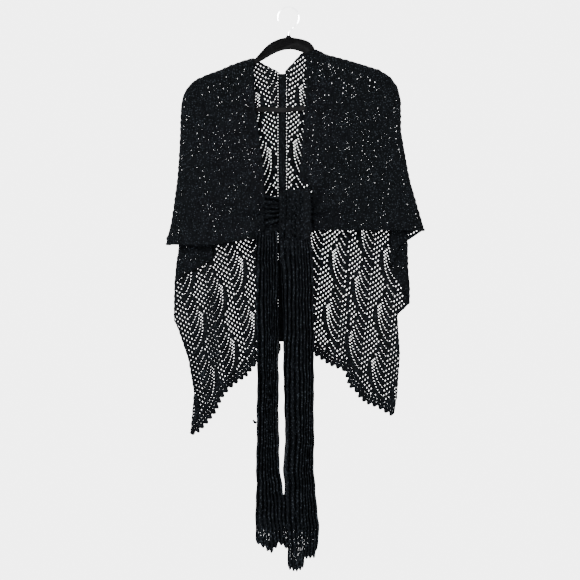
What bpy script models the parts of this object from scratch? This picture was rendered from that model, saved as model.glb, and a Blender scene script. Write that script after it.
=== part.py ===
"""Lace ruana tied at the front, on a flocked clothes hanger.

Tables are in millimetres. "down" is measured downwards from the hook's inner top, "out" is measured
sideways from the hook's axis, positive to each panel's own side. Front faces -Y, left is -X.
"""

import math
from collections import namedtuple

import bmesh
import bpy
from mathutils import Vector

# Driving sizes, in millimetres
MM = 0.001
WALL = 1.5
SEAM_GAP = 0.8
TAIL_SEAM_GAP = 1.0
CENTRE_BACK_X = -13.0
SPINE_WIDTH = 10.0
SPINE_WALL = 2.4
SPINE_TOP = 135.0
SPINE_END = 688.0
SPINE_ROWS = 16
EDGING_WIDTH = 13.0
PICOT_HEIGHT = 5.0
PICOT_PITCH = 13.0
EDGING_LEAN = 0.4
EDGING_LEAN_STEPS = 6
EYELET_WIDTH = 4.6
EYELET_HEIGHT = 6.4
LEAF_WIDTH = 53.0
LEAF_HEIGHT = 113.0
PLATE_THICKNESS = 5.4
PLATE_ROUNDING = 1.0
BAR_HEIGHT = 10.0
HOOK_WIRE = 3.8
HOOK_INNER_RADIUS = 20.0

# How the cloth rounds over the hanger's edge: distance from the seam line, depth from the middle plane
SEAM_STEPS = (0.0, 0.3, 1.8, 5.0)
SEAM_DEPTHS = (0.25, 2.5, 4.5, 5.5)
DEPTH_SLOPE = 0.3

# The shoulder and neck line of each panel, its highest edge
Crest = namedtuple("Crest", "out down")
BACK_CREST = {
    "left": (
        Crest(14, 135), Crest(57, 112), Crest(72, 103), Crest(95, 110), Crest(118, 118), Crest(141, 128),
        Crest(171, 139), Crest(194, 150), Crest(209, 166), Crest(217, 181), Crest(221, 200),
    ),
    "right": (
        Crest(-13, 135), Crest(8, 114), Crest(25, 94), Crest(57, 86), Crest(80, 97), Crest(118, 107),
        Crest(149, 116), Crest(187, 128), Crest(210, 143), Crest(224, 162), Crest(231, 190),
    ),
}
NECK_END = {"left": 80.0, "right": 66.0}

# Each back from the shoulder's tip down: side seam, outer fold or outline, inner fold and depth
Section = namedtuple("Section", "down side fold_out fold_in depth")
BACK_SECTIONS = {
    "left": (
        Section(200, 221, 196, 206, 5.5),
        Section(238, 220, 203, 206, 7.5),
        Section(291, 224, 212, 202, 11),
        Section(348, 228, 219, 188, 13),
        Section(436, 240, 224, 168, 14),
        Section(486, 251, 226, 157, 14.5),
        Section(529, 251, 232, 157, 14.5),
        Section(567, 251, 236, 157, 14.5),
        Section(643, 251, 237, 157, 15),
        Section(662, 251, 228, 157, 15),
        Section(723, 251, 207, 157, 15),
        Section(792, 251, 195, 157, 16),
        Section(883, 251, 203, 157, 17),
    ),
    "right": (
        Section(190, 231, 206, 216, 5.5),
        Section(238, 229, 212, 215, 7.5),
        Section(288, 237, 224, 213, 11),
        Section(348, 248, 232, 212, 13),
        Section(402, 260, 240, 210, 14),
        Section(457, 279, 246, 209, 14.5),
        Section(535, 279, 247, 209, 14.5),
        Section(577, 279, 251, 209, 14.5),
        Section(609, 279, 250, 209, 14.5),
        Section(632, 279, 225, 209, 15),
        Section(712, 279, 230, 209, 15),
        Section(801, 279, 224, 209, 16),
        Section(843, 279, 217, 209, 17),
    ),
}
# A back's soft folds, deepest at the hem and calm beside the side seam
BACK_SWELL = 3.85
SWELL_DOWNS = (240.0, 760.0)
CALM_DOWNS = (600.0, 760.0)
CALM_SHARES = (0.62, 0.9)
CALM = 0.85
Fold = namedtuple("Fold", "waves height start")
BACK_FOLDS = (Fold(2.6, 1.0, 0.1), Fold(5.3, 0.45, 0.4))

# The cascade starts below the shoulder's tip, and its free lower edge has one height for each of its points
FOLD_FOOT = {"left": 567.0, "right": 600.0}
CENTRE_FOOT = 430.0
FOLD_START = 5.0
LAYER_REACH = 100.0
TURN_REACH = 90.0
SELVAGE_DOWN = {
    "left": (567, 560, 545, 533, 525, 505, 493, 490, 487, 486, 486, 486),
    "right": (600, 592, 575, 560, 550, 530, 512, 488, 465, 460, 458, 457),
}

# The diagonal hem of each back, as a share of the way from the centre back to the outline
Hem = namedtuple("Hem", "share down")
BACK_HEM = {
    "left": (
        Hem(0, 694), Hem(0.04, 715), Hem(0.26, 737), Hem(0.37, 762), Hem(0.45, 770), Hem(0.58, 787),
        Hem(0.66, 805), Hem(0.72, 834), Hem(0.81, 857), Hem(0.91, 878), Hem(1, 883),
    ),
    "right": (
        Hem(0, 684), Hem(0.27, 719), Hem(0.38, 737), Hem(0.52, 750), Hem(0.56, 781), Hem(0.62, 791),
        Hem(0.66, 805), Hem(0.73, 817), Hem(0.85, 827), Hem(0.96, 841), Hem(1, 843),
    ),
}

# Each front from its neck edge to the side seam, with the depth at the edge, halfway and at the side
Front = namedtuple("Front", "down edge side depth_edge depth_mid depth_side")
FRONT_SECTIONS = {
    "left": (
        Front(103, 72, 221, 5.5, 5.5, 5.5),
        Front(204, 68, 221, 9, 7, 5.5),
        Front(291, 57, 224, 15, 10, 6),
        Front(348, 49.5, 228, 21, 13, 6.5),
        Front(383, 48.5, 231, 25, 15, 7),
        Front(455, 48.5, 244, 26, 17, 8),
        Front(472, 66, 251, 25, 17, 8),
        Front(486, 68, 251, 24, 17, 8),
    ),
    "right": (
        Front(86, 37, 231, 5.5, 5.5, 5.5),
        Front(200, 35, 231, 9, 7, 5.5),
        Front(253, 31, 231, 13, 9, 6),
        Front(330, 23, 244, 20, 12, 6.5),
        Front(352, 21, 249, 23, 14, 7),
        Front(364, 48.5, 251, 25, 15, 7),
        Front(457, 48.5, 279, 26, 17, 8),
    ),
}
# The fronts' soft folds run out from the knot
KNOT_OUT = 40.0
KNOT_DOWN = 425.0
FRONT_SWELL = 4.2
FRONT_FOLDS = 6.5
FRONT_SWELL_REACH = 170.0
FRONT_SWELL_DOWNS = (150.0, 260.0)
FRONT_CALM_SHARES = (0.75, 1.0)
FRONT_NECK_SHIFT = {"left": 20.0, "right": 0.0}
FRONT_HEM = {
    "left": (Hem(0, 472), Hem(0.25, 480), Hem(0.48, 486), Hem(1, 486)),
    "right": (Hem(0, 456), Hem(0.7, 456), Hem(1, 457)),
}
FRONT_CREST = {
    "left": BACK_CREST["left"][2:],
    "right": (Crest(35, 93),) + BACK_CREST["right"][3:],
}

# The tails, from the knot down: both edges in X, the depth of the middle plane and of the pleats
Tail = namedtuple("Tail", "down left right middle pleat")
TAIL_ROWS = {
    "left": (
        Tail(472.7, -66, -22, -26, 7),
        Tail(500, -67, -21, -26, 13),
        Tail(560, -67, -21, -24, 16),
        Tail(640, -66, -22, -22, 18),
        Tail(740, -64, -22, -21, 18),
        Tail(860, -66, -22, -20, 18),
        Tail(950, -67, -18, -20, 16),
        Tail(1010, -67, -11, -20, 13),
        Tail(1060, -68, -9, -20, 10),
        Tail(1100, -68, -3, -20, 9),
    ),
    "right": (
        Tail(478.6, -19, 46, -35.2, 4),
        Tail(510, -17, 50, -34, 10),
        Tail(560, -14, 51, -31, 14),
        Tail(640, -8, 51, -27, 16),
        Tail(740, -6, 52, -24, 18),
        Tail(860, -5, 52, -22, 18),
        Tail(950, -6, 52, -21, 18),
        Tail(1010, -4, 56, -21, 16),
        Tail(1070, 0, 65, -21, 12),
        Tail(1130, 0, 60, -21, 10),
    ),
}
TAIL_PLEATS = {"left": 7, "right": 9}
TAIL_TOP_RISE = {"left": 9.0, "right": 0.0}
TAIL_END = {
    "left": (Hem(0, 1086), Hem(0.25, 1099), Hem(0.45, 1106), Hem(0.7, 1088), Hem(1, 1100)),
    "right": (Hem(0, 1136), Hem(0.25, 1144), Hem(0.4, 1140), Hem(0.85, 1117), Hem(1, 1112)),
}

# The knot: the wound stretch runs sideways, and the crossing one goes over its top and down the front
Wound = namedtuple("Wound", "x top bottom middle pleat")
WOUND_ROWS = (
    Wound(-47.5, 386, 466, -26, 12),
    Wound(-30, 390, 458, -26, 12),
    Wound(-10, 394, 450, -26, 12),
    Wound(15, 390, 446, -26, 12),
    Wound(32, 388, 450, -26, 12),
    Wound(47.5, 385, 454, -26, 12),
)
WOUND_PLEATS = 6
# Each row of the crossing stretch says how far its left edge is drawn down
Crossing = namedtuple("Crossing", "down middle pleat drop")
CROSSING_ROWS = (
    Crossing(440, -17, 2, 0),
    Crossing(384, -17, 2, 0),
    Crossing(374, -19.5, 2, 8),
    Crossing(370, -26, 2, 8),
    Crossing(374, -32.7, 2, 8),
    Crossing(384, -35.2, 2, 8),
    Crossing(430, -35.2, 2, 1),
    Crossing(478, -35.2, 4, 0),
)
CROSSING_PLEATS = 6
CROSSING_EDGES = (-19.0, 46.0)

# The hanger's plate: each arm's upper edge from the neck's middle, then its lower edge back
ARM_OUTLINE = {
    "left": (
        Crest(0.2, 60), Crest(19, 63), Crest(42, 74), Crest(66, 101), Crest(70, 105.5), Crest(80, 108),
        Crest(95, 111.9), Crest(118, 119.9), Crest(141, 129.9), Crest(171, 141.1), Crest(192, 152),
        Crest(204, 166), Crest(211, 183), Crest(213, 202.4), Crest(198, 202.4), Crest(196, 188),
        Crest(187, 170), Crest(165, 155), Crest(118, 136), Crest(76, 119), Crest(57, 110), Crest(26, 91),
        Crest(0.2, 84),
    ),
    "right": (
        Crest(0.2, 60), Crest(6, 60), Crest(38, 66), Crest(51, 77), Crest(55, 88), Crest(62, 92.5),
        Crest(80, 99.2), Crest(118, 109), Crest(149, 118), Crest(187, 130.2), Crest(206, 144),
        Crest(218, 163), Crest(223.5, 180), Crest(224, 190.4), Crest(209, 190.4), Crest(205, 178),
        Crest(198, 164), Crest(182, 148), Crest(149, 134), Crest(118, 125), Crest(78, 114), Crest(56, 106),
        Crest(25, 89), Crest(0.2, 84),
    ),
}
BAR_MIDDLE = (Crest(-213, 207.8), Crest(-11, 210), Crest(34, 206.5), Crest(224, 196))

# The hook's wire: its stem and bend as places, then the turn by its angles
HOOK_STEM = (Crest(0, 59.7), Crest(0, 54), Crest(0.6, 50), Crest(3.4, 46.2), Crest(8, 42.9))
HOOK_TURN = (-62, 200)
HOOK_TURN_STEP = 13

# Where the lace's leaves stand on each panel: how far a column leans in each millimetre down, the first
# column's place and the lowest point of its first leaf
Leaves = namedtuple("Leaves", "lean column apex columns rows")
LEAVES = {
    "back_left": Leaves(0.208, 74.0, 82.5, 6, 7),
    "back_right": Leaves(0.11, 17.0, 66.5, 6, 7),
    "front_left": Leaves(0.3, 150.0, 205.0, 5, 4),
    "front_right": Leaves(0.3, 110.0, 205.0, 5, 4),
}
# The largest eyelets of a leaf, beside and above its lowest point
LARGEST_EYELETS = ((-9, -38), (9, -34), (0, -62))

# How many cells the meshes have
BACK_COLUMNS = 12
BACK_UPPER_ROWS = 13
BACK_LOWER_ROWS = 8
FRONT_COLUMNS = 10
FRONT_ROWS = 13
LEAST_CELL = 1.8
CELL_MARGIN = 0.32

# The cascade's layers: how far apart they lie and how round their folds are
LAYER_STEP = 4.0
FOLD_ROUND = 3.0


def between(a, b, share):
    return a + (b - a) * share


def read(table, key, position, column):
    """The value of a column where the key column has this position, on straight lines between rows."""
    first = table[0]
    if position <= getattr(first, key):
        return getattr(first, column)
    for low, high in zip(table, table[1:]):
        start, end = getattr(low, key), getattr(high, key)
        if position <= end:
            return between(getattr(low, column), getattr(high, column), (position - start) / (end - start))
    return getattr(table[-1], column)


def ramp(value, start, end):
    share = min(1.0, max(0.0, (value - start) / (end - start)))
    return share * share * (3 - 2 * share)


def seam_depth(distance):
    """Depth of the cloth this far below the shoulder line, where it comes round the hanger's edge."""
    for step, depth, next_step, next_depth in zip(SEAM_STEPS, SEAM_DEPTHS, SEAM_STEPS[1:], SEAM_DEPTHS[1:]):
        if distance <= next_step:
            return between(depth, next_depth, (distance - step) / (next_step - step))
    return SEAM_DEPTHS[-1]


def new_material(name, colour, roughness, metallic):
    material = bpy.data.materials.new(name)
    material.use_nodes = True
    shader = material.node_tree.nodes["Principled BSDF"]
    shader.inputs["Base Color"].default_value = (*colour, 1.0)
    shader.inputs["Roughness"].default_value = roughness
    shader.inputs["Metallic"].default_value = metallic
    return material


def new_object(name, mesh, material, collection):
    mesh.materials.append(material)
    piece = bpy.data.objects.new(name, mesh)
    collection.objects.link(piece)
    return piece


def leaf_eyelets(name, sign):
    """The largest eyelets of a panel's leaves, in the front view; the columns stand half a leaf apart."""
    leaves = LEAVES[name]
    found = []
    for column in range(leaves.columns):
        for row in range(leaves.rows):
            apex = leaves.apex + LEAF_HEIGHT * (row + 0.5 * (column % 2))
            for aside, above in LARGEST_EYELETS:
                down = apex + above
                out = leaves.column + LEAF_WIDTH * column + aside - leaves.lean * down
                found.append((sign * out, -down))
    return found


def cut_face(surface, corners, centre):
    """A cell of the cloth with an eyelet through it, as eight faces around a diamond."""
    a, b, c, d = corners
    across = ((b.co + c.co) - (a.co + d.co)) / 2
    along = ((c.co + d.co) - (a.co + b.co)) / 2
    middle = a.co + across * centre[0] + along * centre[1]
    half_across = across.normalized() * EYELET_WIDTH / 2
    half_along = along.normalized() * EYELET_HEIGHT / 2
    top = surface.verts.new(middle - half_along)
    right = surface.verts.new(middle + half_across)
    bottom = surface.verts.new(middle + half_along)
    left = surface.verts.new(middle - half_across)
    ring = ((a, b, top), (b, right, top), (b, c, right), (c, bottom, right))
    ring += ((c, d, bottom), (d, left, bottom), (d, a, left), (a, top, left))
    for face in ring:
        surface.faces.new(face)


def cell_of(eyelet, sheet):
    """The cell of a sheet that holds this eyelet in the front view, with its place in the cell."""
    for i in range(len(sheet) - 1):
        for j in range(len(sheet[0]) - 1):
            a, b, d = sheet[i][j], sheet[i][j + 1], sheet[i + 1][j]
            wide, tall = b[0] - a[0], d[2] - a[2]
            if abs(wide) < LEAST_CELL * EYELET_WIDTH or abs(tall) < LEAST_CELL * EYELET_HEIGHT:
                continue
            u = (eyelet[0] - a[0]) / wide
            v = (eyelet[1] - a[2] - (b[2] - a[2]) * u) / tall
            if 0 <= u < 1 and 0 <= v < 1:
                return (i, j), (inside_cell(u), inside_cell(v))
    return None, None


def inside_cell(share):
    return min(1 - CELL_MARGIN, max(CELL_MARGIN, share))


def add_cells(surface, sheet, eyelets):
    """Adds a sheet of points, rows by columns, to a surface, with one eyelet at most in a cell."""
    holes = {}
    for eyelet in eyelets:
        cell, place = cell_of(eyelet, sheet)
        if cell and cell not in holes:
            holes[cell] = place
    grid = [[surface.verts.new(point) for point in row] for row in sheet]
    for i in range(len(grid) - 1):
        for j in range(len(grid[0]) - 1):
            corners = (grid[i][j], grid[i][j + 1], grid[i + 1][j + 1], grid[i + 1][j])
            if (i, j) in holes:
                cut_face(surface, corners, holes[i, j])
            else:
                surface.faces.new(corners)


def cloth(name, sheets, material, collection, eyelets=(), wall=WALL):
    """Open sheets joined along their shared edges, thickened into one closed wall."""
    surface = bmesh.new()
    for sheet in sheets:
        add_cells(surface, sheet, eyelets)
    bmesh.ops.remove_doubles(surface, verts=surface.verts, dist=0.02)
    bmesh.ops.recalc_face_normals(surface, faces=surface.faces)
    bmesh.ops.scale(surface, vec=(MM, MM, MM), verts=surface.verts)
    mesh = bpy.data.meshes.new(name)
    surface.to_mesh(mesh)
    surface.free()
    mesh.shade_smooth()
    piece = new_object(name, mesh, material, collection)
    thick = piece.modifiers.new("Wall", "SOLIDIFY")
    thick.thickness = wall * MM
    thick.offset = 0.0
    return piece


def back_depth(side, share, down):
    """Depth of a back's main layer, with its soft folds growing towards the hem."""
    depth = read(BACK_SECTIONS[side], "down", down, "depth")
    calm = 1 - CALM * ramp(share, *CALM_SHARES) * (1 - ramp(down, *CALM_DOWNS))
    swell = BACK_SWELL * ramp(down, *SWELL_DOWNS) * calm * ramp(share, 0.0, 0.12)
    folds = 0.0
    for fold in BACK_FOLDS:
        folds += fold.height * math.sin(2 * math.pi * (fold.waves * share + fold.start))
    return depth + swell * (1 + folds)


def row_downs(top, foot, hem, upper, lower):
    """Heights of a column's points: close at the shoulder line, even to the foot and to the hem."""
    start = top + SEAM_STEPS[-1]
    downs = [top + step for step in SEAM_STEPS]
    downs += [between(start, foot, k / upper) for k in range(1, upper + 1)]
    downs += [between(foot, hem, k / lower) for k in range(1, lower + 1)]
    return downs


def edge_depth(side, out, below, depth):
    """Depth near the shoulder line: round the hanger's edge on the arms, and straight down at the neck."""
    on_arm = ramp(out, NECK_END[side] - 8, NECK_END[side])
    spread = DEPTH_SLOPE * max(0.0, below - SEAM_STEPS[-1])
    return min(depth, between(SEAM_DEPTHS[-1], seam_depth(below), on_arm) + spread)


def back_main(side, sign):
    """The back from the centre to its outer fold and outline, as rows of points."""
    sections = BACK_SECTIONS[side]
    inner = sign * CENTRE_BACK_X + SPINE_WIDTH / 2 + SEAM_GAP
    edging = EDGING_WIDTH + PICOT_HEIGHT
    columns = []
    for j in range(BACK_COLUMNS + 1):
        share = j / BACK_COLUMNS
        top_out = between(inner, sections[0].fold_out, share)
        top = read(BACK_CREST[side], "out", top_out, "down")
        foot = between(CENTRE_FOOT, FOLD_FOOT[side], share)
        hem = read(BACK_HEM[side], "share", share, "down") - edging
        column = []
        for down in row_downs(top, foot, hem, BACK_UPPER_ROWS, BACK_LOWER_ROWS):
            fold = read(sections, "down", down, "fold_out")
            out = between(inner, fold, share)
            depth = edge_depth(side, top_out, down - top, back_depth(side, share, down))
            if j == BACK_COLUMNS:
                depth = min(depth, back_depth(side, share, down) - layer_step(side, down) / 2)
            column.append((sign * out, depth, -down))
        columns.append(column)
    columns.insert(BACK_COLUMNS, near_fold(side, sign, inner))
    return [list(row) for row in zip(*columns)]


def layer_step(side, down):
    """How far apart the cascade's layers lie at this height."""
    start = BACK_SECTIONS[side][0].down
    return LAYER_STEP * ramp(down, start + FOLD_START, start + LAYER_REACH)


def near_fold(side, sign, inner):
    """The column just inside the outer fold, on the main layer."""
    sections = BACK_SECTIONS[side]
    edging = EDGING_WIDTH + PICOT_HEIGHT
    column = []
    top_out = sections[0].fold_out - FOLD_ROUND
    top = read(BACK_CREST[side], "out", top_out, "down")
    hem = read(BACK_HEM[side], "share", 1 - FOLD_ROUND / top_out, "down") - edging
    for down in row_downs(top, FOLD_FOOT[side], hem, BACK_UPPER_ROWS, BACK_LOWER_ROWS):
        out = read(sections, "down", down, "fold_out") - FOLD_ROUND
        share = (out - inner) / (out + FOLD_ROUND - inner)
        depth = edge_depth(side, top_out, down - top, back_depth(side, share, down))
        column.append((sign * out, depth, -down))
    return column


def back_cascade(side, sign):
    """The cloth beyond the outer fold: it turns back inwards, then out again to the side seam."""
    sections = BACK_SECTIONS[side]
    columns = []
    for m, selvage in enumerate(SELVAGE_DOWN[side]):
        top_out = cascade_point(side, m, sections[0].down)[0]
        top = read(BACK_CREST[side], "out", top_out, "down")
        column = []
        for down in row_downs(top, selvage, selvage, BACK_UPPER_ROWS, 0):
            out, depth = cascade_point(side, m, down)
            column.append((sign * out, edge_depth(side, top_out, down - top, depth), -down))
        columns.append(column)
    return [list(row) for row in zip(*columns)]


def cascade_point(side, m, down):
    """Out and depth of the cascade's point m at this height."""
    row = {name: read(BACK_SECTIONS[side], "down", down, name) for name in Section._fields[1:]}
    start = BACK_SECTIONS[side][0].down
    step = layer_step(side, down)
    turn = FOLD_ROUND * between(-1, 1, ramp(down, start, start + TURN_REACH))
    main = back_depth(side, 1.0, down)
    fold_out, fold_in, side_out = row["fold_out"], row["fold_in"], row["side"]
    flap = (fold_out - turn, fold_in + turn)
    last = side_out - SEAM_STEPS[-1]
    outer_depth = max(SEAM_DEPTHS[-1], main - 2 * step)
    points = (
        (fold_out, main - step / 2),
        (flap[0], main - step),
        (between(flap[0], flap[1], 1 / 3), main - step),
        (between(flap[0], flap[1], 2 / 3), main - step),
        (flap[1], main - step),
        (fold_in, (main - step + outer_depth) / 2),
        (fold_in + abs(turn), outer_depth),
        (between(fold_in + abs(turn), last, 0.5), outer_depth),
        (last, SEAM_DEPTHS[-1]),
        (side_out - SEAM_STEPS[2], SEAM_DEPTHS[2]),
        (side_out - SEAM_STEPS[1], SEAM_DEPTHS[1]),
        (side_out, SEAM_DEPTHS[0]),
    )
    return points[m]


def back_panel(side, sign, material, collection):
    main = back_main(side, sign)
    eyelets = leaf_eyelets("back_" + side, sign)
    cloth("back_" + side, (main, back_cascade(side, sign)), material, collection, eyelets)
    return main


def front_depth(row, share, out, down):
    """Depth of a front at this share of its width, with the soft folds that run out from the knot."""
    if share < 0.5:
        depth = between(row["depth_edge"], row["depth_mid"], share / 0.5)
    else:
        depth = between(row["depth_mid"], row["depth_side"], (share - 0.5) / 0.5)
    reach = math.hypot(out - KNOT_OUT, down - KNOT_DOWN)
    angle = math.atan2(out - KNOT_OUT, KNOT_DOWN - down)
    swell = FRONT_SWELL * math.exp(-reach / FRONT_SWELL_REACH) * ramp(down, *FRONT_SWELL_DOWNS)
    swell *= 1 - ramp(share, *FRONT_CALM_SHARES)
    return depth + swell * math.sin(FRONT_FOLDS * angle)


def front_panel(side, sign, material, collection):
    """One front, from its neck edge to the side seam and from the shoulder line to its hem."""
    sections = FRONT_SECTIONS[side]
    last_top = sections[0].side - SEAM_STEPS[-1]
    columns = []
    for j in range(FRONT_COLUMNS + len(SEAM_STEPS)):
        share = min(1.0, j / FRONT_COLUMNS)
        seam = -1 - max(0, j - FRONT_COLUMNS)
        beyond = SEAM_STEPS[-1] - SEAM_STEPS[seam]
        top_out = between(sections[0].edge, last_top, share) + beyond
        top = read(FRONT_CREST[side], "out", top_out, "down")
        hem = read(FRONT_HEM[side], "share", share, "down")
        column = []
        for down in row_downs(top, hem, hem, FRONT_ROWS, 0):
            row = {name: read(sections, "down", down, name) for name in Front._fields[1:]}
            out = between(row["edge"], row["side"] - SEAM_STEPS[-1], share) + beyond
            depth = front_depth(row, share, out, down)
            depth = edge_depth(side, top_out + FRONT_NECK_SHIFT[side], down - top, depth)
            if beyond:
                depth = min(depth, SEAM_DEPTHS[seam])
            column.append((sign * out, -depth, -down))
        columns.append(column)
    sheet = [list(row) for row in zip(*columns)]
    eyelets = leaf_eyelets("front_" + side, sign)
    cloth("front_" + side, (sheet,), material, collection, eyelets)


def pleat_wave(step):
    """Position in pleats, and side, of a boxed pleat's points, four a pleat."""
    whole, quarter = divmod(step, 4)
    return whole + (0.08, 0.42, 0.58, 0.92)[quarter], (1, 1, -1, -1)[quarter]


def strand(name, rows, pleats, material, collection):
    """A gathered stretch: each row has its two edges, the way its pleats stand and how deep they are."""
    sheet = []
    for left, right, stand, pleat in rows:
        line = []
        for step in range(4 * pleats):
            place, face = pleat_wave(step)
            line.append(left.lerp(right, place / pleats) + stand * (face * pleat / 2))
        sheet.append(line)
    cloth(name, (sheet,), material, collection)


def tail_parts(side):
    """The heights of a tail's rows, each a share of the way from its top to its end."""
    rows = TAIL_ROWS[side]
    length = rows[-1].down - rows[0].down
    return [(row.down - rows[0].down) / length for row in rows]


def tail(side, material, collection):
    """A tail and the edging knitted on its end, both pleated alike."""
    rows = TAIL_ROWS[side]
    pleats = TAIL_PLEATS[side]
    rise = TAIL_TOP_RISE[side]
    sheet = [[] for _ in rows]
    edging = [[], []]
    for step in range(4 * pleats):
        place, face = pleat_wave(step)
        share = place / pleats
        top = rows[0].down - rise * share
        end = read(TAIL_END[side], "share", share, "down")
        for line, part in zip(sheet, tail_parts(side)):
            down = between(top, end, part)
            line.append(tail_point(rows, down, share, face))
        picot = PICOT_HEIGHT if step % 4 in (1, 2) else 0.0
        start = end + TAIL_SEAM_GAP
        edging[0].append(tail_point(rows, start, share, face))
        edging[1].append(tail_point(rows, start + EDGING_WIDTH - PICOT_HEIGHT + picot, share, face))
    cloth("tail_" + side, (sheet,), material, collection)
    cloth("tail_edging_" + side, (edging,), material, collection)


def tail_point(rows, down, share, face):
    row = {name: read(rows, "down", down, name) for name in Tail._fields[1:]}
    x = between(row["left"], row["right"], share)
    return x, row["middle"] + face * row["pleat"] / 2, -down


def wound_stretch(material, collection):
    """The knot's wound stretch, with its pleats along it."""
    rows = []
    for row in WOUND_ROWS:
        upper = Vector((row.x, row.middle, -row.top))
        lower = Vector((row.x, row.middle, -row.bottom))
        rows.append((upper, lower, Vector((0, 1, 0)), row.pleat))
    strand("knot_wound", rows, WOUND_PLEATS, material, collection)


def crossing_stretch(material, collection):
    """The stretch that comes up behind the knot, over its top and down its front."""
    left, right = CROSSING_EDGES
    rows = []
    for k, row in enumerate(CROSSING_ROWS):
        before = CROSSING_ROWS[max(k - 1, 0)]
        after = CROSSING_ROWS[min(k + 1, len(CROSSING_ROWS) - 1)]
        along = Vector((0, after.middle - before.middle, before.down - after.down)).normalized()
        stand = Vector((0, along.z, -along.y))
        drawn = Vector((left, row.middle, -row.down - row.drop))
        free = Vector((right, row.middle, -row.down))
        rows.append((drawn, free, stand, row.pleat))
    strand("knot_crossing", rows, CROSSING_PLEATS, material, collection)


def hem_edging(side, sign, main, material, collection):
    """The picot edging below a back's hem, with its upper edge on the hem's own line."""
    line = [Vector(point) for point in main[-1]]
    points = []
    for start, end in zip(line, line[1:]):
        picots = max(1, round((end - start).length / PICOT_PITCH))
        points += [start.lerp(end, k / (2 * picots)) for k in range(2 * picots)]
    points.append(line[-1])
    upper, lower = [], []
    for step, point in enumerate(points):
        away = Vector((-sign * EDGING_LEAN * ramp(step, 0, EDGING_LEAN_STEPS), 0.0, -1.0)).normalized()
        reach = EDGING_WIDTH + (PICOT_HEIGHT if step % 2 else 0.0)
        upper.append(tuple(point + away * SEAM_GAP))
        lower.append(tuple(point + away * (SEAM_GAP + reach)))
    cloth("hem_edging_" + side, ((upper, lower),), material, collection)


def spine(material, collection):
    """The joining band at the centre back."""
    sheet = []
    for k in range(SPINE_ROWS + 1):
        down = between(SPINE_TOP, SPINE_END, k / SPINE_ROWS)
        depth = read(BACK_SECTIONS["left"], "down", down, "depth")
        line = [(CENTRE_BACK_X + aside * SPINE_WIDTH / 2, depth, -down) for aside in (-1.0, 0.0, 1.0)]
        sheet.append(line)
    cloth("spine", (sheet,), material, collection, wall=SPINE_WALL)


def flat_plate(name, outline, material, collection):
    """A plate cut to an outline in the front view, with rounded edges, as a mesh."""
    curve = bpy.data.curves.new(name, "CURVE")
    curve.dimensions = "2D"
    curve.fill_mode = "BOTH"
    curve.extrude = (PLATE_THICKNESS / 2 - PLATE_ROUNDING) * MM
    curve.bevel_depth = PLATE_ROUNDING * MM
    curve.bevel_resolution = 1
    curve.offset = -PLATE_ROUNDING * MM
    line = curve.splines.new("POLY")
    line.points.add(len(outline) - 1)
    for point, (x, down) in zip(line.points, outline):
        point.co = (x * MM, -down * MM, 0.0, 1.0)
    line.use_cyclic_u = True
    plate = bpy.data.objects.new(name, curve)
    plate.rotation_euler = (math.radians(90), 0.0, 0.0)
    collection.objects.link(plate)
    curve.materials.append(material)
    return plate


def hanger_hook(material, collection):
    """The plain wire hook: a straight stem, a bend and three quarters of a turn."""
    wire = HOOK_WIRE / 2
    middle = HOOK_INNER_RADIUS + wire
    points = list(HOOK_STEM)
    for degrees in range(HOOK_TURN[0], HOOK_TURN[1] + 1, HOOK_TURN_STEP):
        angle = math.radians(degrees)
        points.append(Crest(middle * math.cos(angle), HOOK_INNER_RADIUS - middle * math.sin(angle)))
    curve = bpy.data.curves.new("hanger_hook", "CURVE")
    curve.dimensions = "3D"
    curve.bevel_depth = wire * MM
    curve.bevel_resolution = 2
    curve.use_fill_caps = True
    line = curve.splines.new("POLY")
    line.points.add(len(points) - 1)
    for point, (x, down) in zip(line.points, points):
        point.co = (x * MM, 0.0, -down * MM, 1.0)
    hook = bpy.data.objects.new("hanger_hook", curve)
    collection.objects.link(hook)
    curve.materials.append(material)


def main():
    for piece in list(bpy.data.objects):
        bpy.data.objects.remove(piece)
    collection = bpy.data.collections.new("ruana")
    bpy.context.scene.collection.children.link(collection)
    lace = new_material("black_lace", (0.012, 0.013, 0.016), 0.85, 0.0)
    flock = new_material("black_flock", (0.01, 0.01, 0.01), 0.95, 0.0)
    steel = new_material("hook_steel", (0.75, 0.75, 0.76), 0.25, 1.0)

    for side, sign in (("left", -1), ("right", 1)):
        back = back_panel(side, sign, lace, collection)
        hem_edging(side, sign, back, lace, collection)
        front_panel(side, sign, lace, collection)
        tail(side, lace, collection)
        outline = [(sign * point.out, point.down) for point in ARM_OUTLINE[side]]
        flat_plate("hanger_arm_" + side, outline, flock, collection)
    spine(lace, collection)
    wound_stretch(lace, collection)
    crossing_stretch(lace, collection)
    half = BAR_HEIGHT / 2
    bar = [(point.out, point.down - half) for point in BAR_MIDDLE]
    bar += [(point.out, point.down + half) for point in reversed(BAR_MIDDLE)]
    flat_plate("hanger_bar", bar, flock, collection)
    hanger_hook(steel, collection)


main()
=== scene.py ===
"""Looks of the lace ruana on its hanger: real eyelets cut in thin cloth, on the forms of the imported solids.

Tables are in millimetres, as in the part: "down" from the hook's inner top, "out" sideways from its axis.
Front faces -Y, left is -X.
"""

import math
from bisect import bisect_right
from collections import namedtuple
from operator import itemgetter

import bmesh
import bpy
import numpy as np
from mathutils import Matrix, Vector
from mathutils.geometry import delaunay_2d_cdt


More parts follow.
